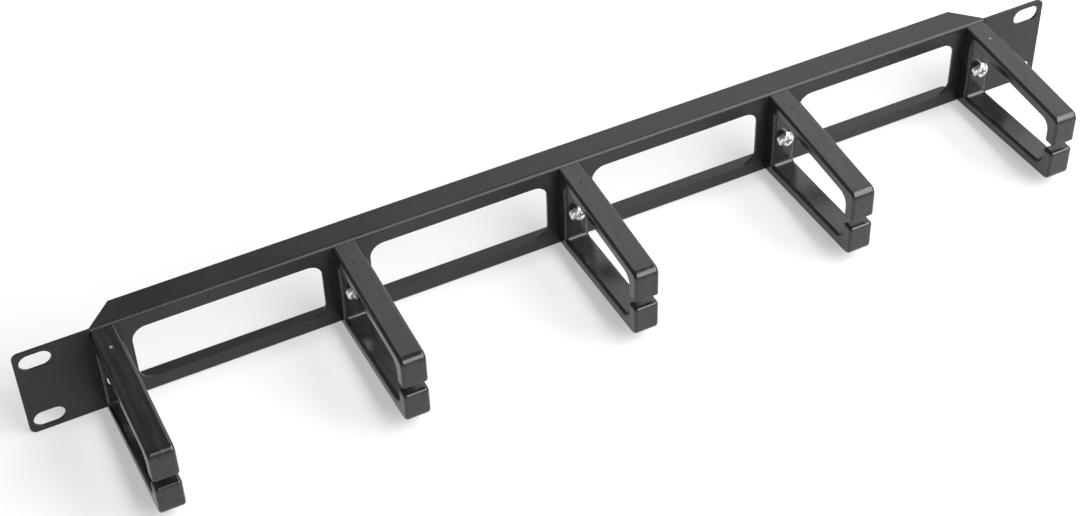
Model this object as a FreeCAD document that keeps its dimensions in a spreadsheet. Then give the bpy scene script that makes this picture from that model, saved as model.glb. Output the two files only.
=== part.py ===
# One-unit horizontal cable manager for a 19 inch rack.
#
# A folded steel panel carries five moulded cable rings in a row.  Each ring is held by one pan head
# screw that passes through its back wall and the panel, with a washer and a hex nut behind.
#
# Frame: X runs along the panel, Y points into the rack and Z is up.  The origin is the centre of the
# four rack slots on the rear face of the panel, the face that seats on the rack rails.
import FreeCAD, Part
import math
import os
import Sketcher

# Driving dimensions, in millimetres and degrees: alias, value, meaning.
SIZES = (
    ("panel_width", 482.6, "overall width of the 19 inch panel"),
    ("panel_height", 43.66, "overall height of the one-unit panel"),
    ("sheet", 1.2, "thickness of the steel sheet"),
    ("ear_width", 31.8, "plain rack ear, from its end to the folded channel"),
    ("ear_corner", 3.0, "radius of the outer corners of the ears"),
    ("bend_inside", 0.6, "inside radius of both folds"),
    ("flange_top", 11.4, "depth of the top flange behind the rear face"),
    ("flange_bottom", 10.2, "depth of the bottom flange behind the rear face"),
    ("flange_slant", 11.4, "how far the flange ends slant inwards"),
    ("slot_length", 13.2, "rack slot, end to end"),
    ("slot_width", 7.9, "rack slot, across"),
    ("slot_inset_x", 8.75, "slot centre from the end of the panel"),
    ("slot_inset_z", 5.955, "slot centre from the long edge of the panel"),
    ("rail_height", 7.4, "solid rail above and below the windows"),
    ("post_width", 21.3, "solid post between two windows"),
    ("window_corner", 6.2, "corner radius of the windows"),
    ("ring_inset", 4.8, "centre of an end ring from the end of the channel"),
    ("ring_width", 11.0, "width of the moulded band"),
    ("ring_depth", 69.0, "reach of a ring in front of the panel"),
    ("ring_margin", 1.0, "ring end below the top edge of the panel"),
    ("ring_taper", 3.8, "drop of each arm from the panel to its tip"),
    ("ring_arm", 5.6, "thickness of the two arms"),
    ("ring_back", 6.0, "thickness of the back wall"),
    ("ring_front", 6.2, "thickness of the two jaws"),
    ("ring_mouth", 3.8, "gap between the jaws"),
    ("ring_nose", 3.5, "outer radius of the front corners"),
    ("ring_throat", 4.5, "inner radius of the front corners"),
    ("ring_root", 1.8, "inner radius of the back corners"),
    ("ring_edge", 1.4, "rounding of every edge that a cable can touch"),
    ("thread", 4.0, "nominal diameter of the screws"),
    ("screw_length", 12.0, "length of a screw under its head"),
    ("head_diameter", 8.0, "pan head, across"),
    ("head_height", 3.1, "pan head, high"),
    ("head_round", 2.0, "rounding of the rim of the pan head"),
    ("cross_span", 4.4, "cross recess, tip to tip"),
    ("cross_bar", 1.1, "cross recess, width of one bar"),
    ("cross_depth", 1.7, "cross recess, deep"),
    ("tip_chamfer", 0.5, "chamfer at the screw tip"),
    ("screw_play", 0.5, "hole diameter over the thread in panel and ring"),
    ("washer_play", 0.3, "hole diameter over the thread in the washer"),
    ("nut_play", 0.1, "bore diameter over the thread in the nut"),
    ("washer_diameter", 9.0, "washer, outside"),
    ("washer_thickness", 0.8, "washer, thick"),
    ("nut_flats", 7.0, "hex nut, across the flats"),
    ("nut_height", 3.2, "hex nut, high"),
    ("nut_face", 6.6, "diameter of the flat left by the chamfers of the nut"),
    ("nut_bevel", 30.0, "angle of the chamfers of the nut, in degrees"),
)

RING_COUNT = 5
WINDOW_COUNT = RING_COUNT - 1

# Expressions that several sub-parts share.
HALF_WIDTH = "sizes.panel_width / 2"
HALF_HEIGHT = "sizes.panel_height / 2"
CHANNEL_END = "(sizes.panel_width / 2 - sizes.ear_width)"
PITCH = f"((sizes.panel_width - 2 * sizes.ear_width - 2 * sizes.ring_inset) / {RING_COUNT - 1})"
SEAT = "(sizes.sheet + sizes.ring_back)"
SCREW_HOLE = "(sizes.thread + sizes.screw_play)"

# Numbers by which the sketcher knows the points of a line or arc, and its own axes and origin.
START, END, CENTRE = range(1, 4)
X_AXIS, Y_AXIS = range(-1, -3, -1)
ORIGIN_POINT = (X_AXIS, START)

# Distance below which two places count as the same.
NEAR = 1e-4


def make_sheet(doc):
    """Write the driving dimensions into a spreadsheet."""
    sheet = doc.addObject("Spreadsheet::Sheet", "sizes")
    for row, (alias, value, meaning) in enumerate(SIZES, start=1):
        sheet.set(f"A{row}", alias)
        sheet.set(f"B{row}", str(value))
        sheet.set(f"C{row}", meaning)
        sheet.setAlias(f"B{row}", alias)
    doc.recompute()
    return sheet


# ---------------------------------------------------------------- sketch helpers

def new_sketch(body, name, plane, offset=None):
    """Start a sketch on an origin plane of a body, moved along the plane's normal by offset."""
    sketch = body.newObject("Sketcher::SketchObject", name)
    support = next(item for item in body.Origin.OriginFeatures if item.Role == plane)
    sketch.AttachmentSupport = [(support, "")]
    sketch.MapMode = "FlatFace"
    if offset is not None:
        sketch.setExpression("AttachmentOffset.Base.z", offset)
    return sketch


def bind(sketch, kind, *places, expression):
    """Add a driving constraint whose value is an expression of the sheet."""
    value = sketch.evalExpression(expression)
    number = float(getattr(value, "Value", value))
    index = sketch.addConstraint(Sketcher.Constraint(kind, *places, number))
    sketch.setExpression(f"Constraints[{index}]", expression)


def place_point(sketch, geometry, position, x_expression, y_expression):
    """Hold one point of a sketch at coordinates given as expressions."""
    if x_expression == "0":
        sketch.addConstraint(Sketcher.Constraint("PointOnObject", geometry, position, Y_AXIS))
    else:
        bind(sketch, "DistanceX", *ORIGIN_POINT, geometry, position, expression=x_expression)
    if y_expression == "0":
        sketch.addConstraint(Sketcher.Constraint("PointOnObject", geometry, position, X_AXIS))
    else:
        bind(sketch, "DistanceY", *ORIGIN_POINT, geometry, position, expression=y_expression)


def number_of(sketch, expression):
    """Value of an expression of the sheet as a plain number."""
    value = sketch.evalExpression(expression)
    return float(getattr(value, "Value", value))


def add_polygon(sketch, corners):
    """Draw a closed polygon through corners given as pairs of expressions."""
    points = [FreeCAD.Vector(number_of(sketch, x), number_of(sketch, y), 0) for x, y in corners]
    count = len(points)
    first = len(sketch.Geometry)
    for index in range(count):
        sketch.addGeometry(Part.LineSegment(points[index], points[(index + 1) % count]), False)
    for index in range(count):
        following = first + (index + 1) % count
        sketch.addConstraint(Sketcher.Constraint("Coincident", first + index, END, following, START))
        place_point(sketch, first + index, START, *corners[index])


def add_circle(sketch, diameter, x_expression="0", y_expression="0"):
    """Draw a circle of a given diameter about a point."""
    centre = FreeCAD.Vector(number_of(sketch, x_expression), number_of(sketch, y_expression), 0)
    radius = number_of(sketch, diameter) / 2
    index = sketch.addGeometry(Part.Circle(centre, FreeCAD.Vector(0, 0, 1), radius), False)
    place_point(sketch, index, CENTRE, x_expression, y_expression)
    bind(sketch, "Diameter", index, expression=diameter)


def add_arc(sketch, centre, radius, start_angle):
    """Draw a quarter circle that starts at a given angle in degrees and runs anticlockwise."""
    circle = Part.Circle(centre, FreeCAD.Vector(0, 0, 1), radius)
    begin = math.radians(start_angle)
    return sketch.addGeometry(Part.ArcOfCircle(circle, begin, begin + math.pi / 2), False)


def add_rounded_rectangle(sketch, left, right, bottom, top, radius):
    """Draw a rectangle with four equal rounded corners, its sides given as expressions."""
    x_low, x_high, y_low, y_high, r = (number_of(sketch, side) for side in (left, right, bottom, top, radius))
    point = FreeCAD.Vector
    sides = (
        (point(x_low + r, y_low, 0), point(x_high - r, y_low, 0)),
        (point(x_high, y_low + r, 0), point(x_high, y_high - r, 0)),
        (point(x_high - r, y_high, 0), point(x_low + r, y_high, 0)),
        (point(x_low, y_high - r, 0), point(x_low, y_low + r, 0)),
    )
    centres = (
        point(x_high - r, y_low + r, 0),
        point(x_high - r, y_high - r, 0),
        point(x_low + r, y_high - r, 0),
        point(x_low + r, y_low + r, 0),
    )
    lines = [sketch.addGeometry(Part.LineSegment(*side), False) for side in sides]
    arcs = [add_arc(sketch, centre, r, 90 * turn - 90) for turn, centre in enumerate(centres)]
    for index in range(4):
        following = lines[(index + 1) % 4]
        sketch.addConstraint(Sketcher.Constraint("Tangent", lines[index], END, arcs[index], START))
        sketch.addConstraint(Sketcher.Constraint("Tangent", arcs[index], END, following, START))
        sketch.addConstraint(Sketcher.Constraint("Vertical" if index % 2 else "Horizontal", lines[index]))
        if index:
            sketch.addConstraint(Sketcher.Constraint("Equal", arcs[0], arcs[index]))
    bind(sketch, "Radius", arcs[0], expression=radius)
    bind(sketch, "DistanceY", *ORIGIN_POINT, lines[0], START, expression=bottom)
    bind(sketch, "DistanceX", *ORIGIN_POINT, lines[1], START, expression=right)
    bind(sketch, "DistanceY", *ORIGIN_POINT, lines[2], START, expression=top)
    bind(sketch, "DistanceX", *ORIGIN_POINT, lines[3], START, expression=left)


def add_slot(sketch, x_centre, y_centre, length, width):
    """Draw a slot with round ends, its long axis along the sketch's X."""
    half_run = f"(({length}) - ({width})) / 2"
    left_x = f"{x_centre} - {half_run}"
    right_x = f"{x_centre} + {half_run}"
    x_left, x_right, y = (number_of(sketch, place) for place in (left_x, right_x, y_centre))
    r = number_of(sketch, width) / 2
    point = FreeCAD.Vector
    upward = point(0, 0, 1)
    low = sketch.addGeometry(Part.LineSegment(point(x_left, y - r, 0), point(x_right, y - r, 0)), False)
    high = sketch.addGeometry(Part.LineSegment(point(x_right, y + r, 0), point(x_left, y + r, 0)), False)
    right_circle = Part.Circle(point(x_right, y, 0), upward, r)
    left_circle = Part.Circle(point(x_left, y, 0), upward, r)
    right = sketch.addGeometry(Part.ArcOfCircle(right_circle, -math.pi / 2, math.pi / 2), False)
    left = sketch.addGeometry(Part.ArcOfCircle(left_circle, math.pi / 2, 3 * math.pi / 2), False)
    sketch.addConstraint(Sketcher.Constraint("Tangent", low, END, right, START))
    sketch.addConstraint(Sketcher.Constraint("Tangent", right, END, high, START))
    sketch.addConstraint(Sketcher.Constraint("Tangent", high, END, left, START))
    sketch.addConstraint(Sketcher.Constraint("Tangent", left, END, low, START))
    sketch.addConstraint(Sketcher.Constraint("Equal", left, right))
    bind(sketch, "Radius", left, expression=f"{width} / 2")
    place_point(sketch, left, CENTRE, left_x, y_centre)
    place_point(sketch, right, CENTRE, right_x, y_centre)


# ---------------------------------------------------------------- feature helpers

def pad(body, sketch, length, symmetric=False, backward=False):
    """Extrude a sketch along its normal."""
    feature = body.newObject("PartDesign::Pad", f"{sketch.Name}_pad")
    feature.Profile = sketch
    feature.SideType = "Symmetric" if symmetric else "One side"
    feature.Reversed = backward
    feature.setExpression("Length", length)
    body.Document.recompute()
    return feature


def pocket(body, sketch, length, backward=False, symmetric=False):
    """Cut a sketch into a body and check that material was removed."""
    before = body.Shape.Volume
    feature = body.newObject("PartDesign::Pocket", f"{sketch.Name}_cut")
    feature.Profile = sketch
    feature.SideType = "Symmetric" if symmetric else "One side"
    feature.Reversed = backward
    feature.setExpression("Length", length)
    body.Document.recompute()
    if body.Shape.Volume >= before:
        raise RuntimeError(f"{feature.Label} removed nothing")
    return feature


def row_pattern(body, feature, sketch, pitch, count):
    """Repeat a feature along X at a pitch and make the pattern the tip of its body."""
    pattern = body.newObject("PartDesign::LinearPattern", f"{feature.Name}_row")
    pattern.Originals = [feature]
    pattern.Direction = (sketch, ["H_Axis"])
    pattern.Mode = "Spacing"
    pattern.setExpression("Offset", pitch)
    pattern.Occurrences = count
    body.Tip = pattern
    body.Document.recompute()
    return pattern


def fillet(body, edges, radius):
    """Round the named edges of the tip of a body."""
    feature = body.newObject("PartDesign::Fillet", f"{body.Name}_round_{len(body.Group)}")
    feature.Base = (body.Group[-2], edges)
    feature.setExpression("Radius", radius)
    body.Tip = feature
    body.Document.recompute()
    return feature


def edges_where(body, test):
    """Names of the edges of a body's shape whose middle point passes a test."""
    names = []
    for index, edge in enumerate(body.Shape.Edges, start=1):
        middle = edge.valueAt((edge.FirstParameter + edge.LastParameter) / 2)
        if test(edge, middle):
            names.append(f"Edge{index}")
    return names


def long_edges_at(body, places):
    """Names of the edges that run along X through given (y, z) places."""
    def passes(edge, middle):
        along = abs(edge.BoundBox.XLength - edge.Length) < NEAR
        return along and any(math.hypot(middle.y - y, middle.z - z) < NEAR for y, z in places)
    return edges_where(body, passes)


# ---------------------------------------------------------------- panel

def make_panel(doc, sizes):
    """Folded panel: a channel with two flanges, two plain ears, windows, rack slots and screw holes."""
    body = doc.addObject("PartDesign::Body", "panel")
    fold_channel(body, sizes)
    add_ears(body)
    slant_flange_ends(body)
    cut_windows(body)
    cut_rack_slots(body)
    cut_screw_holes(body)
    return body


def fold_channel(body, sizes):
    """Web and both flanges as one folded section, with inside and outside bend radii."""
    front = "-sizes.sheet"
    section = new_sketch(body, "channel_section", "YZ_Plane")
    add_polygon(section, (
        (front, f"-{HALF_HEIGHT}"),
        ("sizes.flange_bottom", f"-{HALF_HEIGHT}"),
        ("sizes.flange_bottom", f"-{HALF_HEIGHT} + sizes.sheet"),
        ("0", f"-{HALF_HEIGHT} + sizes.sheet"),
        ("0", f"{HALF_HEIGHT} - sizes.sheet"),
        ("sizes.flange_top", f"{HALF_HEIGHT} - sizes.sheet"),
        ("sizes.flange_top", HALF_HEIGHT),
        (front, HALF_HEIGHT),
    ))
    pad(body, section, f"2 * {CHANNEL_END}", symmetric=True)
    outer = sizes.panel_height / 2
    inner = outer - sizes.sheet
    fillet(body, long_edges_at(body, ((0, inner), (0, -inner))), "sizes.bend_inside")
    outer_edges = long_edges_at(body, ((-sizes.sheet, outer), (-sizes.sheet, -outer)))
    fillet(body, outer_edges, "sizes.bend_inside + sizes.sheet")


def add_ears(body):
    """Flat rack ears at the full height of the panel, with rounded outer corners."""
    for side, name in ((1, "ear_right"), (-1, "ear_left")):
        outline = new_sketch(body, name, "XZ_Plane")
        add_ear_outline(outline, side)
        pad(body, outline, "sizes.sheet")


def add_ear_outline(sketch, side):
    """Rectangle from the end of the channel to the end of the panel, two corners rounded."""
    sign = "" if side > 0 else "-"
    x_root = side * number_of(sketch, CHANNEL_END)
    x_tip = side * number_of(sketch, HALF_WIDTH)
    z = number_of(sketch, HALF_HEIGHT)
    r = number_of(sketch, "sizes.ear_corner")
    point = FreeCAD.Vector
    low = sketch.addGeometry(Part.LineSegment(point(x_root, -z, 0), point(x_tip - side * r, -z, 0)), False)
    tip = sketch.addGeometry(Part.LineSegment(point(x_tip, r - z, 0), point(x_tip, z - r, 0)), False)
    high = sketch.addGeometry(Part.LineSegment(point(x_tip - side * r, z, 0), point(x_root, z, 0)), False)
    root = sketch.addGeometry(Part.LineSegment(point(x_root, z, 0), point(x_root, -z, 0)), False)
    low_centre = point(x_tip - side * r, r - z, 0)
    high_centre = point(x_tip - side * r, z - r, 0)
    low_arc = add_arc(sketch, low_centre, r, 270 if side > 0 else 180)
    high_arc = add_arc(sketch, high_centre, r, 0 if side > 0 else 90)
    near, far = (START, END) if side > 0 else (END, START)
    sketch.addConstraint(Sketcher.Constraint("Tangent", low, END, low_arc, near))
    sketch.addConstraint(Sketcher.Constraint("Tangent", low_arc, far, tip, START))
    sketch.addConstraint(Sketcher.Constraint("Tangent", tip, END, high_arc, near))
    sketch.addConstraint(Sketcher.Constraint("Tangent", high_arc, far, high, START))
    sketch.addConstraint(Sketcher.Constraint("Coincident", high, END, root, START))
    sketch.addConstraint(Sketcher.Constraint("Coincident", root, END, low, START))
    sketch.addConstraint(Sketcher.Constraint("Vertical", tip))
    sketch.addConstraint(Sketcher.Constraint("Horizontal", low))
    sketch.addConstraint(Sketcher.Constraint("Horizontal", high))
    sketch.addConstraint(Sketcher.Constraint("Equal", low_arc, high_arc))
    bind(sketch, "Radius", low_arc, expression="sizes.ear_corner")
    bind(sketch, "DistanceX", *ORIGIN_POINT, tip, START, expression=f"{sign}{HALF_WIDTH}")
    place_point(sketch, low, START, f"{sign}{CHANNEL_END}", f"-{HALF_HEIGHT}")
    place_point(sketch, root, START, f"{sign}{CHANNEL_END}", HALF_HEIGHT)


def slant_flange_ends(body):
    """Cut the four flange ends so that each flange is shorter at its free edge."""
    reach = "(2 * sizes.flange_top)"
    run = f"({reach} * sizes.flange_slant / sizes.flange_top)"
    corners = new_sketch(body, "flange_ends", "XY_Plane")
    for sign in ("", "-"):
        add_polygon(corners, (
            (f"{sign}{CHANNEL_END}", "0"),
            (f"{sign}{CHANNEL_END}", reach),
            (f"{sign}({CHANNEL_END} - {run})", reach),
        ))
    pocket(body, corners, "2 * sizes.panel_height", symmetric=True)


def cut_windows(body):
    """Row of large windows, one between each pair of neighbouring rings."""
    outline = new_sketch(body, "window", "XZ_Plane")
    centre = f"-{(WINDOW_COUNT - 1) / 2} * {PITCH}"
    half = f"({PITCH} - sizes.post_width) / 2"
    half_clear = f"{HALF_HEIGHT} - sizes.rail_height"
    add_rounded_rectangle(
        outline,
        left=f"{centre} - {half}",
        right=f"{centre} + {half}",
        bottom=f"-({half_clear})",
        top=half_clear,
        radius="sizes.window_corner",
    )
    cut = pocket(body, outline, "4 * sizes.sheet", symmetric=True)
    row_pattern(body, cut, outline, PITCH, WINDOW_COUNT)


def cut_rack_slots(body):
    """Two level slots in each ear for the rack screws."""
    slots = new_sketch(body, "rack_slots", "XZ_Plane")
    for x_sign in ("", "-"):
        for z_sign in ("", "-"):
            add_slot(
                slots,
                x_centre=f"{x_sign}({HALF_WIDTH} - sizes.slot_inset_x)",
                y_centre=f"{z_sign}({HALF_HEIGHT} - sizes.slot_inset_z)",
                length="sizes.slot_length",
                width="sizes.slot_width",
            )
    pocket(body, slots, "4 * sizes.sheet", symmetric=True)


def cut_screw_holes(body):
    """Clearance holes for the ring screws, on the centre line of the panel."""
    hole = new_sketch(body, "screw_hole", "XZ_Plane")
    add_circle(hole, SCREW_HOLE, f"-{(RING_COUNT - 1) / 2} * {PITCH}", "0")
    cut = pocket(body, hole, "4 * sizes.sheet", symmetric=True)
    row_pattern(body, cut, hole, PITCH, RING_COUNT)


# ---------------------------------------------------------------- ring

def make_ring(doc, sizes, name):
    """Moulded ring: a flat band bent round a tapered hollow, open between two jaws at the front."""
    body = doc.addObject("PartDesign::Body", name)
    back = "-sizes.sheet"
    back_inside = f"-{SEAT}"
    front = "-(sizes.sheet + sizes.ring_depth)"
    front_inside = "-(sizes.sheet + sizes.ring_depth - sizes.ring_front)"
    root = f"({HALF_HEIGHT} - sizes.ring_margin)"
    tip = f"({root} - sizes.ring_taper)"
    slope = "(sizes.ring_taper / sizes.ring_depth)"
    root_inside = f"({root} - {slope} * sizes.ring_back - sizes.ring_arm)"
    tip_inside = f"({tip} + {slope} * sizes.ring_front - sizes.ring_arm)"
    mouth = "sizes.ring_mouth / 2"
    upper = (
        (back_inside, root_inside),
        (front_inside, tip_inside),
        (front_inside, mouth),
        (front, mouth),
        (front, tip),
        (back, root),
    )
    lower = tuple((y, f"-{z}") for y, z in reversed(upper))
    section = new_sketch(body, f"{name}_section", "YZ_Plane")
    add_polygon(section, upper + lower)
    pad(body, section, "sizes.ring_width", symmetric=True)
    round_ring_corners(body, section, (front, tip), (front_inside, tip_inside), (back_inside, root_inside))
    round_ring_edges(body, sizes)
    bore = new_sketch(body, f"{name}_bore", "XZ_Plane")
    add_circle(bore, SCREW_HOLE)
    pocket(body, bore, f"{SEAT} + sizes.ring_mouth", backward=True)
    return body


def round_ring_corners(body, section, nose, throat, root):
    """Round the corners where the band turns: outside and inside at the front, inside at the back."""
    for (y, z), radius in ((nose, "sizes.ring_nose"), (throat, "sizes.ring_throat"), (root, "sizes.ring_root")):
        y_value = number_of(section, y)
        z_value = number_of(section, z)
        fillet(body, long_edges_at(body, ((y_value, z_value), (y_value, -z_value))), radius)


def round_ring_edges(body, sizes):
    """Round both rims of the band and the ends of the jaws, but not the face that meets the panel."""
    side = sizes.ring_width / 2
    lip = sizes.ring_mouth / 2

    def passes(edge, middle):
        on_side = abs(abs(middle.x) - side) < NEAR and edge.BoundBox.XLength < NEAR
        on_lip = abs(abs(middle.z) - lip) < NEAR and abs(edge.BoundBox.XLength - edge.Length) < NEAR
        on_panel = middle.y > -sizes.sheet - NEAR
        return (on_side or on_lip) and not on_panel

    fillet(body, edges_where(body, passes), "sizes.ring_edge")


# ---------------------------------------------------------------- fasteners

def make_screw(doc, sizes, name):
    """Pan head machine screw with a cross recess, its head inside the ring."""
    body = doc.addObject("PartDesign::Body", name)
    profile = new_sketch(body, f"{name}_profile", "XY_Plane")
    shank = "sizes.thread / 2"
    rim = "sizes.head_diameter / 2"
    add_polygon(profile, (
        ("0", "-sizes.head_height"),
        (rim, "-sizes.head_height"),
        (rim, "0"),
        (shank, "0"),
        (shank, "sizes.screw_length - sizes.tip_chamfer"),
        (f"{shank} - sizes.tip_chamfer", "sizes.screw_length"),
        ("0", "sizes.screw_length"),
    ))
    turned = body.newObject("PartDesign::Revolution", f"{name}_turned")
    turned.Profile = profile
    turned.ReferenceAxis = (profile, ["V_Axis"])
    turned.Angle = 360
    doc.recompute()
    radius = sizes.head_diameter / 2

    def on_rim(edge, middle):
        on_top = abs(middle.y + sizes.head_height) < NEAR
        return on_top and abs(math.hypot(middle.x, middle.z) - radius) < NEAR

    fillet(body, edges_where(body, on_rim), "sizes.head_round")
    cut_cross_recess(body, name)
    body.setExpression("Placement.Base.y", f"-{SEAT}")
    return body


def cut_cross_recess(body, name):
    """Cross recess with straight walls, in the top of the head."""
    recess = new_sketch(body, f"{name}_recess", "XZ_Plane", offset="sizes.head_height")
    tip = "sizes.cross_span / 2"
    bar = "sizes.cross_bar / 2"
    quarter = ((bar, tip), (bar, bar), (tip, bar))
    corners = []
    for x_sign, y_sign, order in (("", "", 1), ("", "-", -1), ("-", "-", 1), ("-", "", -1)):
        corners.extend((f"{x_sign}{x}", f"{y_sign}{y}") for x, y in quarter[::order])
    add_polygon(recess, tuple(corners))
    pocket(body, recess, "sizes.cross_depth")


def make_washer(doc, name):
    """Plain washer against the rear face of the panel."""
    body = doc.addObject("PartDesign::Body", name)
    outline = new_sketch(body, f"{name}_outline", "XZ_Plane")
    add_circle(outline, "sizes.washer_diameter")
    add_circle(outline, "sizes.thread + sizes.washer_play")
    pad(body, outline, "sizes.washer_thickness", backward=True)
    return body


def make_nut(doc, name):
    """Hex nut with both faces chamfered, against the washer."""
    body = doc.addObject("PartDesign::Body", name)
    outline = new_sketch(body, f"{name}_outline", "XZ_Plane")
    corner = "sizes.nut_flats / sqrt(3)"
    half_corner = f"{corner} / 2"
    flat = "sizes.nut_flats / 2"
    add_polygon(outline, (
        (corner, "0"),
        (half_corner, flat),
        (f"-{half_corner}", flat),
        (f"-{corner}", "0"),
        (f"-{half_corner}", f"-{flat}"),
        (half_corner, f"-{flat}"),
    ))
    add_circle(outline, "sizes.thread + sizes.nut_play")
    pad(body, outline, "sizes.nut_height", backward=True)
    chamfer_nut(body, name)
    body.setExpression("Placement.Base.y", "sizes.washer_thickness")
    return body


def chamfer_nut(body, name):
    """Turn a cone off the corners of both hex faces."""
    profile = new_sketch(body, f"{name}_bevels", "XY_Plane")
    inner = "sizes.nut_face / 2"
    outer = "sizes.nut_flats"
    rise = f"(({outer} - {inner}) * tan(sizes.nut_bevel))"
    add_polygon(profile, ((inner, "0"), (outer, "0"), (outer, rise)))
    add_polygon(profile, (
        (inner, "sizes.nut_height"),
        (outer, f"sizes.nut_height - {rise}"),
        (outer, "sizes.nut_height"),
    ))
    before = body.Shape.Volume
    groove = body.newObject("PartDesign::Groove", f"{name}_turned")
    groove.Profile = profile
    groove.ReferenceAxis = (profile, ["V_Axis"])
    groove.Angle = 360
    body.Document.recompute()
    if body.Shape.Volume >= before:
        raise RuntimeError(f"{groove.Label} removed nothing")


# ---------------------------------------------------------------- assembly

def make_station(doc, sizes, number):
    """One ring with its screw, washer and nut, moved to its place along the panel."""
    bodies = (
        make_ring(doc, sizes, f"ring_{number}"),
        make_screw(doc, sizes, f"screw_{number}"),
        make_washer(doc, f"washer_{number}"),
        make_nut(doc, f"nut_{number}"),
    )
    steps = number - (RING_COUNT + 1) / 2
    for body in bodies:
        body.setExpression("Placement.Base.x", f"{steps} * {PITCH}")
    return bodies


def check_document(doc, bodies):
    """Stop if any object failed or any sub-part is not one valid solid."""
    for item in doc.Objects:
        if "Invalid" in item.State or "Error" in item.State:
            raise RuntimeError(f"{item.Label} failed: {item.State}")
    for body in bodies:
        shape = body.Shape
        if shape.isNull() or not shape.isValid() or len(shape.Solids) != 1:
            raise RuntimeError(f"{body.Label} is not one valid solid")


def main():
    """Build the document, check it and write one STEP file for each sub-part."""
    doc = FreeCAD.newDocument("cable_manager")
    sizes = make_sheet(doc)
    bodies = [make_panel(doc, sizes)]
    for number in range(1, RING_COUNT + 1):
        bodies.extend(make_station(doc, sizes, number))
    doc.recompute()
    check_document(doc, bodies)
    os.makedirs("parts", exist_ok=True)
    for body in bodies:
        body.Shape.exportStep(f"parts/{body.Label}.step")
        print(f"{body.Label}: {body.Shape.Volume:.1f} mm3")


main()
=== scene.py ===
"""Looks for a horizontal cable manager: coated steel panel, moulded cable rings and plated fasteners.

All lengths are metres in the object's own frame: X runs along the panel, Y points into the rack and
Z is up.
"""

import logging
import math
from dataclasses import dataclass, field
from enum import Enum
from typing import Callable, Iterable, Union

import bpy
from mathutils import Euler, Matrix, Vector


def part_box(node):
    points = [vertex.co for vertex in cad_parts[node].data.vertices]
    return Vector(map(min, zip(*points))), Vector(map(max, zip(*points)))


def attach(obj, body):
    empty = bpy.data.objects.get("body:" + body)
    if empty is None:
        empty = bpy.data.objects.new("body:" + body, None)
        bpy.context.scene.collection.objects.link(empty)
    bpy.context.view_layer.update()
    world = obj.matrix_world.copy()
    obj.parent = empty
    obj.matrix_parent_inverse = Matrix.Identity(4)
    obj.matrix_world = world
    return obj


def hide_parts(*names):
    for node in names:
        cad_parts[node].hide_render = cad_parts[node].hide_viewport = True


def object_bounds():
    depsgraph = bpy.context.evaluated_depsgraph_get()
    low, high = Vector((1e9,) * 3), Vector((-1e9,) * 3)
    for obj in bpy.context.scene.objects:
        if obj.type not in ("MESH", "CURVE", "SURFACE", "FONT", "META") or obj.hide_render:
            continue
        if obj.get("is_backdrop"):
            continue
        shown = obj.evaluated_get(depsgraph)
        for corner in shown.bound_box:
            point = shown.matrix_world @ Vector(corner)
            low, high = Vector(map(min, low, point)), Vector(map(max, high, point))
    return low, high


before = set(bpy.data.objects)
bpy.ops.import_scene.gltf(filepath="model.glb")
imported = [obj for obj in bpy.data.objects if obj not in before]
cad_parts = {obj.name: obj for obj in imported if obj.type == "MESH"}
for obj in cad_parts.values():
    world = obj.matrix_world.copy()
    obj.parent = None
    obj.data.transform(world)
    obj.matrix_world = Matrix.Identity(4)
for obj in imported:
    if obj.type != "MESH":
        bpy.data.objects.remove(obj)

LOG = logging.getLogger("cable_manager")
BODY = "root"
MM = 0.001

# Distance below which two vertices count as one, and the finer one used when a plane cuts a mesh.
MERGE = 0.002 * MM
CUT_MERGE = 0.0005 * MM

RING_NUMBERS = range(1, 6)
RING_NODES = tuple(f"ring_{number}" for number in RING_NUMBERS)
SCREW_NODES = tuple(f"screw_{number}" for number in RING_NUMBERS)
WASHER_NODES = tuple(f"washer_{number}" for number in RING_NUMBERS)
NUT_NODES = tuple(f"nut_{number}" for number in RING_NUMBERS)

Triple = tuple[float, float, float]
Colour = Triple
WHITE = (1.0, 1.0, 1.0, 1.0)
Number = Union[float, "Signal"]


class Slot(Enum):
    """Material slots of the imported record."""

    PANEL = "panel_steel"
    RING = "ring_plastic"
    FASTENER = "fastener_zinc"


# ---------------------------------------------------------------- shader graph


class Signal:
    """A number that varies over a surface; Python's operators on it add Math nodes."""

    def __init__(self, graph: "Graph", socket: bpy.types.NodeSocket) -> None:
        """Wrap one output socket.

        Args:
            graph: The graph that the socket belongs to.
            socket: The output socket that carries the number.
        """
        self.graph = graph
        self.socket = socket

    def _join(self, operation: str, *values: Number) -> "Signal":
        """Add one Math node.

        Args:
            operation: The Math node's operation.
            values: Its inputs, in order.

        Returns:
            The node's result.
        """
        return self.graph.number("ShaderNodeMath", {"operation": operation}, *values)

    def __add__(self, other: Number) -> "Signal":
        """Sum."""
        return self._join("ADD", self, other)

    __radd__ = __add__

    def __sub__(self, other: Number) -> "Signal":
        """Difference."""
        return self._join("SUBTRACT", self, other)

    def __mul__(self, other: Number) -> "Signal":
        """Product."""
        return self._join("MULTIPLY", self, other)

    def at_least(self, other: Number) -> "Signal":
        """Larger of two numbers."""
        return self._join("MAXIMUM", self, other)

    def sine(self) -> "Signal":
        """Sine."""
        return self._join("SINE", self)

    def root(self) -> "Signal":
        """Square root."""
        return self._join("SQRT", self)

    def wrapped(self, period: float) -> "Signal":
        """Distance past the nearest whole number of periods, with its sign."""
        return self - self._join("SNAP", self + period / 2, period)

    def above(self, low: float, high: float) -> "Signal":
        """Smooth step.

        Args:
            low: Value below which the result is 0.
            high: Value above which the result is 1.

        Returns:
            A number from 0 to 1.
        """
        settings = {"interpolation_type": "SMOOTHSTEP"}
        return self.graph.number("ShaderNodeMapRange", settings, self, low, high)


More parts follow.
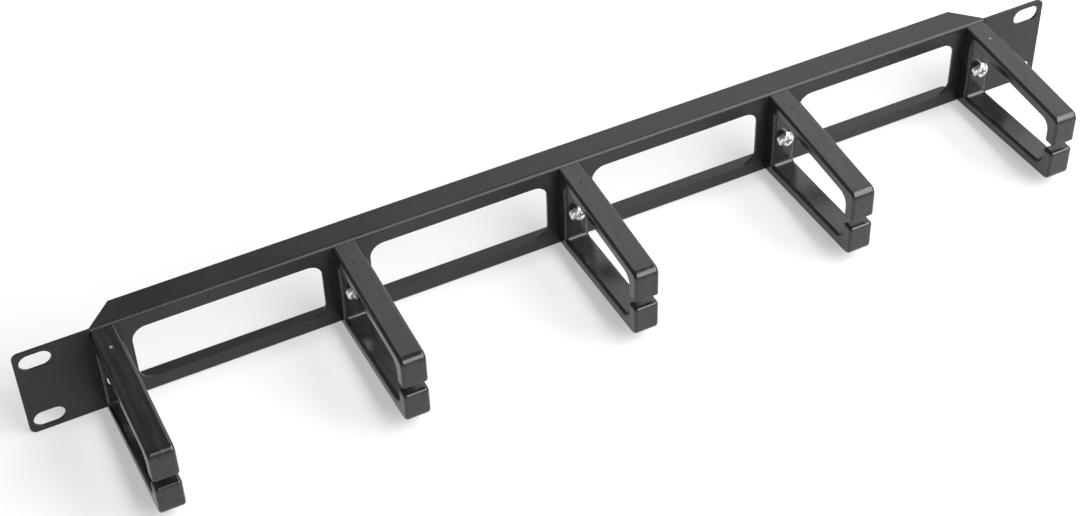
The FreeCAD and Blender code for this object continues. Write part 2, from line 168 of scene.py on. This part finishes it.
class Graph:
    """Node tree of one material or of the world, built by adding nodes to an empty tree."""

    def __init__(self, tree: bpy.types.NodeTree) -> None:
        """Empty the tree.

        Args:
            tree: The tree to build in.
        """
        self.tree = tree
        tree.nodes.clear()

    def node(
        self, kind: str, settings: dict[str, object] | None = None, **sockets: object
    ) -> bpy.types.Node:
        """Add a node.

        Args:
            kind: The node's type.
            settings: Its properties, which are set before its sockets.
            sockets: Values or links for its inputs, by name with spaces as underscores.

        Returns:
            The new node.
        """
        made = self.tree.nodes.new(kind)
        for name, value in (settings or {}).items():
            setattr(made, name, value)
        for name, value in sockets.items():
            self.feed(made.inputs[name.replace("_", " ")], value)
        return made

    def feed(self, target: bpy.types.NodeSocket, value: object) -> None:
        """Link or set one input.

        Args:
            target: The input socket.
            value: A signal, an output socket, or a constant.
        """
        if isinstance(value, Signal):
            self.tree.links.new(value.socket, target)
        elif isinstance(value, bpy.types.NodeSocket):
            self.tree.links.new(value, target)
        else:
            target.default_value = value

    def number(self, kind: str, settings: dict[str, object], *values: Number) -> Signal:
        """Add a node that makes a number from numbers.

        Args:
            kind: The node's type.
            settings: Its properties.
            values: Its first inputs, in order.

        Returns:
            The node's first output.
        """
        made = self.node(kind, settings)
        for target, value in zip(made.inputs, values):
            self.feed(target, value)
        return Signal(self, made.outputs[0])

    def place(self) -> bpy.types.NodeSocket:
        """Object coordinates, in metres from the object's origin."""
        return self.node("ShaderNodeTexCoord").outputs["Object"]

    def split(self, vector: bpy.types.NodeSocket) -> tuple[Signal, Signal, Signal]:
        """Take a vector apart.

        Args:
            vector: The vector.

        Returns:
            Its X, Y and Z.
        """
        parts = self.node("ShaderNodeSeparateXYZ", None, Vector=vector)
        return tuple(Signal(self, socket) for socket in parts.outputs)

    def stretched(self, scale: Triple) -> bpy.types.NodeSocket:
        """Object coordinates scaled along each axis.

        Args:
            scale: Factor along X, Y and Z.

        Returns:
            The scaled vector.
        """
        return self.node("ShaderNodeMapping", None, Vector=self.place(), Scale=scale).outputs[0]

    def noise(
        self, scale: float, detail: float = 2.0, place: bpy.types.NodeSocket | None = None
    ) -> Signal:
        """Cloudy noise.

        Args:
            scale: Features per metre.
            detail: Number of finer layers.
            place: Coordinates, by default the object's own.

        Returns:
            A number about 0.5.
        """
        made = self.node(
            "ShaderNodeTexNoise", None, Vector=place or self.place(), Scale=scale, Detail=detail
        )
        return Signal(self, made.outputs[0])

    def blend(self, factor: Number, low: Colour, high: Colour) -> bpy.types.NodeSocket:
        """Mix two colours.

        Args:
            factor: Share of the second colour.
            low: First colour.
            high: Second colour.

        Returns:
            The mixed colour.
        """
        made = self.node("ShaderNodeMix", {"data_type": "RGBA"})
        self.feed(made.inputs[0], factor)
        self.feed(made.inputs[6], (*low, 1.0))
        self.feed(made.inputs[7], (*high, 1.0))
        return made.outputs[2]

    def relief(self, height: Signal, depth: float) -> bpy.types.NodeSocket:
        """Turn a height into a normal.

        Args:
            height: The height, from 0 to 1.
            depth: What a height of 1 stands for, in metres.

        Returns:
            The normal.
        """
        made = self.node("ShaderNodeBump", None, Strength=1.0, Distance=depth, Height=height)
        return made.outputs[0]

    def principled(self, **sockets: object) -> bpy.types.NodeSocket:
        """Add the surface shader that every finish of the object ends in.

        Args:
            sockets: Its inputs, by name with spaces as underscores.

        Returns:
            The shader's output.
        """
        return self.node("ShaderNodeBsdfPrincipled", None, **sockets).outputs[0]


# ---------------------------------------------------------------- finishes


@dataclass(frozen=True)
class Finish:
    """Base of all finishes of the object."""

    name: str

    def material(self) -> bpy.types.Material:
        """Build the finish as a material.

        Returns:
            The new material.
        """
        made = bpy.data.materials.new(self.name)
        made.use_nodes = True
        graph = Graph(made.node_tree)
        surface = self.surface(graph)
        graph.node("ShaderNodeOutputMaterial", None, Surface=surface)
        return made

    def surface(self, graph: Graph) -> bpy.types.NodeSocket:
        """Add the nodes of the finish.

        Args:
            graph: The graph to add them to.

        Returns:
            The shader's output.
        """
        raise NotImplementedError


@dataclass(frozen=True)
class PowderCoat(Finish):
    """Satin black powder coat on steel: fine orange peel, a finer grain and a faint broad mottle."""

    dark: Colour = (0.006, 0.006, 0.0065)
    light: Colour = (0.012, 0.012, 0.0125)
    roughness: float = 0.38
    sheen_level: float = 0.42
    mottle: float = 35.0
    peel: float = 900.0
    grain: float = 3800.0
    mottle_haze: float = 0.12
    grain_haze: float = 0.08
    texture_depth: float = 0.06 * MM

    def surface(self, graph: Graph) -> bpy.types.NodeSocket:
        """Add the nodes of the coat.

        Args:
            graph: The graph to add them to.

        Returns:
            The shader's output.
        """
        cloud = graph.noise(self.mottle, 3.0)
        peel = graph.noise(self.peel, 2.0)
        grain = graph.noise(self.grain, 1.0)
        colour = graph.blend((cloud * 0.6 + peel * 0.4).above(0.3, 0.7), self.dark, self.light)
        rough = self.roughness + (cloud - 0.5) * self.mottle_haze + (grain - 0.5) * self.grain_haze
        normal = graph.relief(peel * 0.7 + grain * 0.3, self.texture_depth)
        return graph.principled(
            Base_Color=colour, Roughness=rough, Normal=normal, Specular_IOR_Level=self.sheen_level
        )


@dataclass(frozen=True)
class MouldedPlastic(Finish):
    """Glossy black moulded plastic: faint flow marks along the arms and handling hairlines."""

    dark: Colour = (0.008, 0.008, 0.0085)
    light: Colour = (0.016, 0.016, 0.0165)
    roughness: float = 0.20
    flow_scale: Triple = (420.0, 45.0, 160.0)
    hairline_scale: Triple = (2600.0, 130.0, 900.0)
    skin: float = 1500.0
    flow_haze: float = 0.16
    hairline_haze: float = 0.1
    texture_depth: float = 0.02 * MM

    def surface(self, graph: Graph) -> bpy.types.NodeSocket:
        """Add the nodes of the plastic.

        Args:
            graph: The graph to add them to.

        Returns:
            The shader's output.
        """
        flow = graph.noise(1.0, 2.0, graph.stretched(self.flow_scale))
        hair = graph.noise(1.0, 1.0, graph.stretched(self.hairline_scale))
        skin = graph.noise(self.skin, 1.0)
        colour = graph.blend(flow.above(0.35, 0.7), self.dark, self.light)
        hairlines = hair.above(0.62, 0.7) * self.hairline_haze
        rough = self.roughness + (flow - 0.5) * self.flow_haze + hairlines
        normal = graph.relief(skin * 0.5 + flow * 0.5, self.texture_depth)
        return graph.principled(Base_Color=colour, Roughness=rough, Normal=normal)


@dataclass(frozen=True)
class PaintedGateGlint(Finish):
    """Painted highlight on a moulding gate mark: lighter grey, matt plastic with a torn texture, in place
    of a glint.
    """

    dark: Colour = (0.10, 0.10, 0.10)
    light: Colour = (0.30, 0.30, 0.30)
    roughness: float = 0.42
    tear: float = 2600.0
    tear_haze: float = 0.3
    tear_depth: float = 0.05 * MM

    def surface(self, graph: Graph) -> bpy.types.NodeSocket:
        """Add the nodes of the painted glint.

        Args:
            graph: The graph to add them to.

        Returns:
            The shader's output.
        """
        torn = graph.noise(self.tear, 2.0)
        # The lighter grey base is a painted highlight, not a colour the plastic has.
        colour = graph.blend(torn.above(0.35, 0.65), self.dark, self.light)
        rough = self.roughness + (torn - 0.5) * self.tear_haze
        normal = graph.relief(torn, self.tear_depth)
        return graph.principled(Base_Color=colour, Roughness=rough, Normal=normal)


@dataclass(frozen=True)
class ZincPlate(Finish):
    """Bright zinc plate over turned steel: rings round each screw's axis and a slight haze."""

    bright: Colour = (0.80, 0.81, 0.82)
    dull: Colour = (0.60, 0.61, 0.63)
    roughness: float = 0.24
    pitch: float = 0.10235
    ring_turns: float = 42000.0
    haze_scale: float = 900.0
    haze: float = 0.2
    ring_haze: float = 0.05
    texture_depth: float = 0.01 * MM

    def surface(self, graph: Graph) -> bpy.types.NodeSocket:
        """Add the nodes of the plate.

        Args:
            graph: The graph to add them to.

        Returns:
            The shader's output.
        """
        across, _, up = graph.split(graph.place())
        local = across.wrapped(self.pitch)
        radius = (local * local + up * up).root()
        rings = (radius * self.ring_turns).sine() * 0.5 + 0.5
        haze = graph.noise(self.haze_scale, 2.0)
        colour = graph.blend(haze.above(0.35, 0.75), self.bright, self.dull)
        rough = self.roughness + (haze - 0.5) * self.haze + rings * self.ring_haze
        normal = graph.relief(rings * 0.4 + haze * 0.6, self.texture_depth)
        return graph.principled(Base_Color=colour, Roughness=rough, Normal=normal, Metallic=1.0)


@dataclass(frozen=True)
class StudioWhite(Finish):
    """White paper floor: the camera and glossy surfaces see part of it as glow, and it keeps shadows."""

    colour: Colour = (0.93, 0.93, 0.93)
    fibre_tone: float = 0.985
    fibres: float = 60.0
    glow: float = 0.42

    def surface(self, graph: Graph) -> bpy.types.NodeSocket:
        """Add the nodes of the paper.

        Args:
            graph: The graph to add them to.

        Returns:
            The shader's output.
        """
        paper = graph.noise(self.fibres, 3.0)
        low = tuple(channel * self.fibre_tone for channel in self.colour)
        tint = graph.blend(paper, low, self.colour)
        matt = graph.node("ShaderNodeBsdfDiffuse", None, Color=tint)
        glow = graph.node("ShaderNodeEmission", None, Color=WHITE, Strength=1.0)
        seen = camera_or_gloss(graph)
        mixed = graph.node("ShaderNodeMixShader", None, Fac=seen * self.glow)
        graph.feed(mixed.inputs[1], matt.outputs[0])
        graph.feed(mixed.inputs[2], glow.outputs[0])
        return mixed.outputs[0]


def camera_or_gloss(graph: Graph) -> Signal:
    """Tell which rays see the background.

    Args:
        graph: The graph to add the node to.

    Returns:
        1 for camera, glossy and transmission rays, and 0 for the rest.
    """
    path = graph.node("ShaderNodeLightPath")
    names = ("Is Camera Ray", "Is Glossy Ray", "Is Transmission Ray")
    camera, gloss, through = (Signal(graph, path.outputs[name]) for name in names)
    return camera.at_least(gloss).at_least(through)


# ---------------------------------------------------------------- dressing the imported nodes


@dataclass
class DressedNodes:
    """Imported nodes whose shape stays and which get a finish."""

    nodes: tuple[str, ...]
    finish: bpy.types.Material

    def build(self) -> None:
        """Put the finish in the nodes' material slots."""
        for name in self.nodes:
            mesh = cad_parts[name].data
            mesh.materials.clear()
            mesh.materials.append(self.finish)
        LOG.info("dressed %s with %s", ", ".join(self.nodes), self.finish.name)


# ---------------------------------------------------------------- modelling by hand


def start_piece() -> None:
    """Leave edit mode and deselect everything, so that the next operator meets only its own piece."""
    if bpy.context.mode != "OBJECT":
        bpy.ops.object.mode_set(mode="OBJECT")
    bpy.ops.object.select_all(action="DESELECT")


def pick(piece: bpy.types.Object) -> None:
    """Make a piece the only selected object and the active one."""
    start_piece()
    piece.select_set(True)
    bpy.context.view_layer.objects.active = piece


def settle(piece: bpy.types.Object) -> None:
    """Put a piece's place and size into its mesh, so that its origin is the world's."""
    pick(piece)
    bpy.ops.object.transform_apply(location=True, rotation=True, scale=True)


def apply_modifier(piece: bpy.types.Object, kind: str, **settings: object) -> None:
    """Add a modifier to a piece and apply it.

    Args:
        piece: The piece.
        kind: The modifier's type.
        settings: Its properties.
    """
    pick(piece)
    modifier = piece.modifiers.new(kind.lower(), kind)
    for name, value in settings.items():
        setattr(modifier, name, value)
    bpy.ops.object.modifier_apply(modifier=modifier.name)


def choose_faces(piece: bpy.types.Object, test: Callable[[bpy.types.MeshPolygon], bool]) -> None:
    """Select some faces of a piece, and stay in edit mode.

    Args:
        piece: The piece.
        test: Tells whether a face is wanted.
    """
    pick(piece)
    bpy.ops.object.mode_set(mode="EDIT")
    bpy.ops.mesh.select_mode(type="FACE")
    bpy.ops.mesh.select_all(action="DESELECT")
    bpy.ops.object.mode_set(mode="OBJECT")
    for face in piece.data.polygons:
        face.select = test(face)
    bpy.ops.object.mode_set(mode="EDIT")


def combine(piece: bpy.types.Object, tool: bpy.types.Object, operation: str) -> None:
    """Combine a piece with a tool body and throw the tool away.

    Args:
        piece: The piece.
        tool: The other body.
        operation: DIFFERENCE, INTERSECT or UNION.
    """
    apply_modifier(piece, "BOOLEAN", object=tool, operation=operation, solver="EXACT")
    bpy.data.objects.remove(tool)


def draw(name: str, points: Iterable[tuple[float, float]]) -> bpy.types.Object:
    """Draw an open line in the plane Z = 0 by extruding one vertex, and stay in edit mode.

    Args:
        name: The new object's name.
        points: Distance from the Y axis and place along it, for each corner.

    Returns:
        The new object.
    """
    corners = [Vector((radius, along, 0.0)) for radius, along in points]
    start_piece()
    bpy.ops.mesh.primitive_plane_add(size=MM, location=corners[0])
    piece = bpy.context.object
    piece.name = name
    bpy.ops.object.transform_apply(location=True, rotation=True, scale=True)
    bpy.ops.object.mode_set(mode="EDIT")
    bpy.ops.mesh.select_mode(type="VERT")
    bpy.ops.mesh.select_all(action="SELECT")
    bpy.ops.mesh.merge(type="CENTER")
    for here, there in zip(corners, corners[1:]):
        bpy.ops.mesh.extrude_region_move(TRANSFORM_OT_translate={"value": there - here})
    return piece


def lathe(name: str, points: Iterable[tuple[float, float]], steps: int) -> bpy.types.Object:
    """Turn a closed body about the Y axis.

    Args:
        name: The new object's name.
        points: Profile that starts and ends on the axis.
        steps: Flats round the body.

    Returns:
        The new object.
    """
    piece = draw(name, points)
    bpy.ops.mesh.select_all(action="SELECT")
    bpy.ops.mesh.spin(steps=steps, angle=math.tau, center=(0.0, 0.0, 0.0), axis=(0.0, 1.0, 0.0))
    bpy.ops.mesh.select_all(action="SELECT")
    bpy.ops.mesh.remove_doubles(threshold=MERGE)
    bpy.ops.mesh.normals_make_consistent(inside=False)
    bpy.ops.object.mode_set(mode="OBJECT")
    return piece


def quarter(
    radius: float, centre: tuple[float, float], start: float, steps: int
) -> list[tuple[float, float]]:
    """Corners of a quarter circle.

    Args:
        radius: The circle's radius.
        centre: Its centre.
        start: Angle of the first corner, in quarter turns.
        steps: Runs between the corners.

    Returns:
        The corners, turning left.
    """
    turns = ((start + step / steps) * math.pi / 2 for step in range(steps + 1))
    return [(centre[0] + radius * math.cos(turn), centre[1] + radius * math.sin(turn)) for turn in turns]


# ---------------------------------------------------------------- screws


@dataclass
class CrossScrews:
    """Pan-head machine screws with a tapered cross recess and a cut thread."""

    finish: bpy.types.Material
    head_height: float = 3.1 * MM
    head_round: float = 2.0 * MM
    under_chamfer: float = 0.12 * MM
    shank_radius: float = 2.0 * MM
    thread_depth: float = 0.32 * MM
    thread_pitch: float = 0.7 * MM
    tip_chamfer: float = 0.5 * MM
    recess_span: float = 4.4 * MM
    recess_bar: float = 1.1 * MM
    recess_depth: float = 1.7 * MM
    recess_taper: float = 0.62
    recess_end_taper: float = 0.82
    recess_clearance: float = 0.2 * MM
    thread_start: float = 0.3 * MM
    tip_overrun: float = 0.1 * MM
    tooth_places: tuple[float, float, float, float] = (1.5, 1.06, 0.94, 0.5)
    thread_steps: int = 24
    round_steps: int = 12
    facets: int = 64
    smooth_below: float = 32.0

    def build(self) -> None:
        """Model one screw and set a copy in the place of each packed screw."""
        low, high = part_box(SCREW_NODES[0])
        pattern = self.model(low, high)
        for name in SCREW_NODES:
            piece = pattern.copy()
            piece.data = pattern.data.copy()
            piece.name = f"{name}_detailed"
            node_low, node_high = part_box(name)
            piece.data.transform(Matrix.Translation(((node_low.x + node_high.x) / 2, 0.0, 0.0)))
            bpy.context.scene.collection.objects.link(piece)
            piece.data.materials.append(self.finish)
            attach(piece, BODY)
            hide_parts(name)
        LOG.info("screws: %d with %d faces each", len(SCREW_NODES), len(pattern.data.polygons))
        bpy.data.objects.remove(pattern)

    def model(self, low: Vector, high: Vector) -> bpy.types.Object:
        """Model one screw on the Y axis.

        Args:
            low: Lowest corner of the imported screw.
            high: Its highest corner.

        Returns:
            The screw.
        """
        radius = (high.x - low.x) / 2
        seat = low.y + self.head_height
        head = self.head(radius, low.y, seat)
        combine(head, self.recess(low.y), "DIFFERENCE")
        combine(head, self.shank(seat, high.y), "UNION")
        pick(head)
        bpy.ops.object.shade_smooth_by_angle(angle=math.radians(self.smooth_below))
        return head

    def head(self, radius: float, face: float, seat: float) -> bpy.types.Object:
        """Turn the head.

        Args:
            radius: Its radius.
            face: Y of its outer face.
            seat: Y of its underside.

        Returns:
            The head.
        """
        flat = radius - self.head_round
        rim = quarter(self.head_round, (flat, face + self.head_round), 0, self.round_steps)
        rim = [(across, 2 * (face + self.head_round) - along) for across, along in rim]
        profile = [
            (0.0, seat),
            (radius - self.under_chamfer, seat),
            (radius, seat - self.under_chamfer),
            *rim,
            (0.0, face),
        ]
        return lathe("screw_head", profile, self.facets)

    def recess(self, face: float) -> bpy.types.Object:
        """Shape the tool body of the cross recess.

        Args:
            face: Y of the head's outer face.

        Returns:
            The tool body.
        """
        first = self.wing(face, False)
        combine(first, self.wing(face, True), "UNION")
        return first

    def wing(self, face: float, upright: bool) -> bpy.types.Object:
        """Shape one bar of the cross, narrower at its bottom.

        Args:
            face: Y of the head's outer face.
            upright: Whether the bar stands along Z.

        Returns:
            The bar.
        """
        start_piece()
        top = face - self.recess_clearance
        depth = self.recess_depth + self.recess_clearance
        bar_size, span = self.recess_bar, self.recess_span
        size = (bar_size, depth, span) if upright else (span, depth, bar_size)
        bpy.ops.mesh.primitive_cube_add(size=1.0, location=(0.0, top + depth / 2, 0.0), scale=size)
        bar = bpy.context.object
        settle(bar)
        choose_faces(bar, lambda side: side.normal.y > 0.9)
        tapers = (self.recess_end_taper, self.recess_taper)
        across, along = tapers if upright else reversed(tapers)
        bpy.ops.transform.resize(value=(across, 1.0, along))
        bpy.ops.object.mode_set(mode="OBJECT")
        return bar

    def shank(self, seat: float, tip: float) -> bpy.types.Object:
        """Cut the thread and point its end.

        Args:
            seat: Y of the head's underside.
            tip: Y of the shank's end.

        Returns:
            The shank.
        """
        start = seat - self.thread_start
        turns = math.ceil((tip - start) / self.thread_pitch) + 2
        root = self.shank_radius - self.thread_depth
        radii = (root, self.shank_radius, self.shank_radius, root)
        tooth = [
            (radius, start - self.thread_pitch * place) for radius, place in zip(radii, self.tooth_places)
        ]
        thread = draw("screw_thread", tooth)
        bpy.ops.object.mode_set(mode="OBJECT")
        apply_modifier(
            thread, "SCREW", axis="Y", angle=math.tau, screw_offset=self.thread_pitch, iterations=turns,
            steps=self.thread_steps, render_steps=self.thread_steps, use_merge_vertices=True,
            merge_threshold=MERGE,
        )
        bpy.ops.object.mode_set(mode="EDIT")
        for place, facing in ((start, -1.0), (tip + self.tip_overrun, 1.0)):
            bpy.ops.mesh.select_all(action="SELECT")
            bpy.ops.mesh.remove_doubles(threshold=MERGE)
            bpy.ops.mesh.bisect(
                plane_co=(0.0, place, 0.0), plane_no=(0.0, facing, 0.0), use_fill=True, clear_outer=True,
                threshold=CUT_MERGE,
            )
        bpy.ops.mesh.select_all(action="SELECT")
        bpy.ops.mesh.normals_make_consistent(inside=False)
        bpy.ops.object.mode_set(mode="OBJECT")
        envelope_radius = self.shank_radius * 1.2
        envelope = [
            (0.0, start - self.tip_overrun),
            (envelope_radius, start - self.tip_overrun),
            (envelope_radius, tip - self.tip_chamfer - self.shank_radius * 0.2),
            (self.shank_radius - self.tip_chamfer, tip),
            (0.0, tip),
        ]
        combine(thread, lathe("screw_tip", envelope, self.facets), "INTERSECT")
        return thread


# ---------------------------------------------------------------- gate marks


@dataclass
class GateMarks:
    """Low round vestige that the moulding gate leaves on the top arm of each ring."""

    finish: bpy.types.Material
    painted_glint: bpy.types.Material
    # Rings whose gate mark gets the painted highlight; the others keep the plain plastic.
    glint_rings: tuple[str, ...] = ("ring_1", "ring_5")
    from_panel: float = 11.0 * MM
    radius: float = 0.7 * MM
    height: float = 0.16 * MM
    dimple_radius: float = 0.35 * MM
    dimple_depth: float = 0.12 * MM
    sunk: float = 0.1 * MM
    facets: int = 32
    smooth_below: float = 50.0
    top_band: float = 5 * MM

    def build(self) -> None:
        """Model a mark on each ring."""
        for name in RING_NODES:
            piece = self.model()
            piece.name = f"{name}_gate_mark"
            place, lean = self.seat(name)
            piece.data.transform(Matrix.Translation(place) @ Matrix.Rotation(lean, 4, "X"))
            # The glint rings' marks take the painted highlight colour.
            piece.data.materials.append(self.painted_glint if name in self.glint_rings else self.finish)
            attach(piece, BODY)
        LOG.info("gate marks: %d", len(RING_NODES))

    def seat(self, node: str) -> tuple[Vector, float]:
        """Find where a ring's mark sits.

        Args:
            node: The ring's node.

        Returns:
            The place on the top arm, and the arm's slope about X.
        """
        low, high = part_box(node)
        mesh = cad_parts[node].data
        level_z = high.z - self.top_band
        tops = [face for face in mesh.polygons if face.normal.z > 0.95 and face.center.z > level_z]
        tops.sort(key=lambda face: -face.area)
        normal = tops[0].normal
        start = mesh.vertices[tops[0].vertices[0]].co
        along = high.y - self.from_panel
        level = start.z - normal.y / normal.z * (along - start.y)
        return Vector(((low.x + high.x) / 2, along, level)), math.atan2(-normal.y, normal.z)

    def model(self) -> bpy.types.Object:
        """Model one mark upright at the origin.

        Returns:
            The mark.
        """
        edge = self.height * 0.6
        profile = [
            (0.0, -self.sunk),
            (self.radius, -self.sunk),
            (self.radius, self.height - edge),
            (self.radius - edge * 0.3, self.height - edge * 0.25),
            (self.radius - edge, self.height),
            (self.dimple_radius, self.height),
            (self.dimple_radius * 0.7, self.height - self.dimple_depth * 0.7),
            (0.0, self.height - self.dimple_depth),
        ]
        piece = lathe("gate_mark", profile, self.facets)
        piece.data.transform(Matrix.Rotation(math.pi / 2, 4, "X"))
        pick(piece)
        bpy.ops.object.shade_smooth_by_angle(angle=math.radians(self.smooth_below))
        return piece


# ---------------------------------------------------------------- studio


@dataclass
class Softbox:
    """Large square lamp aimed at the object."""

    name: str
    place: Vector
    target: Vector
    side: float
    power: float

    def build(self) -> None:
        """Add the lamp."""
        data = bpy.data.lights.new(self.name, "AREA")
        data.shape = "SQUARE"
        data.size = self.side
        data.energy = self.power
        lamp = bpy.data.objects.new(self.name, data)
        lamp.location = self.place
        lamp.rotation_euler = (self.target - self.place).to_track_quat("-Z", "Y").to_euler()
        bpy.context.scene.collection.objects.link(lamp)
        LOG.info("lamp %s", self.name)


@dataclass
class Studio:
    """Floor, lamps, world and camera."""

    floor_level: float
    floor_side: float = 24.0
    walls: float = 0.5
    ceiling: float = 0.2
    ceiling_starts: float = 0.9
    lean: float = 0.4
    lens: float = 71.68
    camera_place: Vector = field(default_factory=lambda: Vector((-0.30022, -0.61332, 0.61247)))
    camera_turn: Triple = (46.5959, 1.5204, -26.4142)
    clip_start: float = 0.01
    clip_end: float = 50.0

    def build(self) -> None:
        """Add all parts of the studio."""
        self.add_floor()
        self.add_world()
        self.add_lamps()
        self.add_camera()
        bpy.context.scene.view_settings.view_transform = "Standard"

    def add_floor(self) -> None:
        """Add the floor under the object."""
        bpy.ops.object.select_all(action="DESELECT")
        bpy.ops.mesh.primitive_plane_add(size=self.floor_side, location=(0.0, 0.0, self.floor_level))
        floor = bpy.context.object
        floor.name = "floor"
        floor.data.materials.append(StudioWhite("studio_white").material())
        floor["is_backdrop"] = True
        LOG.info("floor at %.4f m", self.floor_level)

    def add_world(self) -> None:
        """Set the world: grey walls under a dimmer ceiling, brightest to the rear right."""
        world = bpy.data.worlds.new("studio")
        world.use_nodes = True
        bpy.context.scene.world = world
        graph = Graph(world.node_tree)
        across, depth, up = graph.split(graph.node("ShaderNodeTexCoord").outputs["Generated"])
        height = up.above(0.0, self.ceiling_starts)
        level = self.walls + height * (self.ceiling - self.walls)
        lean = (across + depth) * self.lean + 1.0
        strength = level * lean
        light = graph.node("ShaderNodeBackground", None, Color=WHITE, Strength=strength)
        graph.node("ShaderNodeOutputWorld", None, Surface=light.outputs[0])

    def add_lamps(self) -> None:
        """Add the softboxes."""
        centre = Vector((0.0, -0.03, 0.0))
        boxes = (
            Softbox("key", Vector((0.6, -1.1, 0.95)), centre, side=1.2, power=30.0),
            Softbox("side", Vector((1.1, -0.35, 1.35)), centre, side=1.0, power=17.0),
            Softbox("rear", Vector((0.85, 0.95, 1.14)), centre, side=1.2, power=6.5),
        )
        for box in boxes:
            box.build()

    def add_camera(self) -> None:
        """Add the camera and make it the scene's own."""
        data = bpy.data.cameras.new("camera")
        data.lens = self.lens
        data.clip_start = self.clip_start
        data.clip_end = self.clip_end
        camera = bpy.data.objects.new("camera", data)
        camera.location = self.camera_place
        camera.rotation_euler = Euler([math.radians(turn) for turn in self.camera_turn], "XYZ")
        bpy.context.scene.collection.objects.link(camera)
        bpy.context.scene.camera = camera


# ---------------------------------------------------------------- main


def main() -> None:
    """Build every piece in order."""
    logging.basicConfig(level=logging.INFO, format="%(name)s: %(message)s")
    packed_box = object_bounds()
    coat = PowderCoat("black_powder_coat").material()
    plastic = MouldedPlastic("black_moulded_plastic").material()
    # Lighter grey painted highlight for the gate marks of two rings.
    painted_glint = PaintedGateGlint("painted_gate_glint").material()
    zinc = ZincPlate("bright_zinc").material()
    DressedNodes(("panel",), coat).build()
    DressedNodes(RING_NODES, plastic).build()
    DressedNodes(SCREW_NODES + WASHER_NODES + NUT_NODES, zinc).build()
    CrossScrews(zinc).build()
    GateMarks(plastic, painted_glint).build()
    Studio(packed_box[0].z).build()


if __name__ == "__main__":
    main()
